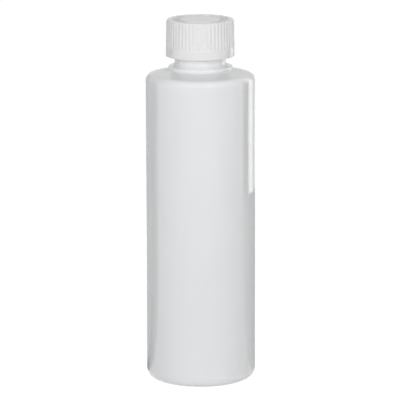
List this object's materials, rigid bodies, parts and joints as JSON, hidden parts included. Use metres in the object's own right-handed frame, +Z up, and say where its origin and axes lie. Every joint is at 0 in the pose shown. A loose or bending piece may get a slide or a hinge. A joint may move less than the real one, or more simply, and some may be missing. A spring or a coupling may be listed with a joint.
{
  "type": "child-resistant bottle",
  "caption": "Slim cylinder bottle with a hollow body, stepped collar and threaded neck, closed by a ribbed two-shell push-and-turn closure over a sealing disc.",
  "frame": {"origin": "centre of the ring that the bottle stands on", "axes": "+Z up along the bottle's axis, -Y towards the viewer of the picture, parting line of the blown bottle in the XZ plane"},
  "size_m": [0.05, 0.05, 0.1668],
  "materials": {
    "bottle_plastic": "satin",
    "liner_foam": "matte",
    "inner_cap_plastic": "satin",
    "outer_cap_plastic": "satin"
  },
  "bodies": {
    "bottle": {"bottle": "bottle_plastic"},
    "liner": {"liner": "liner_foam"},
    "inner_cap": {"inner_cap": "inner_cap_plastic"},
    "outer_cap": {"outer_cap": "outer_cap_plastic"}
  },
  "joints": [
    {"name": "closure_lift", "type": "slide", "parent": "bottle", "child": "liner", "axis": [0, 0, 1], "range_m": [0, 0.00476]},
    {"name": "closure_turn", "type": "hinge", "parent": "liner", "child": "inner_cap", "pos_m": [0, 0, 0], "axis": [0, 0, 1], "range_deg": [0, 540]},
    {"name": "push_down", "type": "slide", "parent": "inner_cap", "child": "outer_cap", "axis": [0, 0, -1], "range_m": [0, 0.001], "stiffness_N_per_m": 15000, "springref_m": -0.0002}
  ],
  "couplings": [
    {"joint": "closure_turn", "follows": "closure_lift", "rad_per_m": 1979}
  ]
}
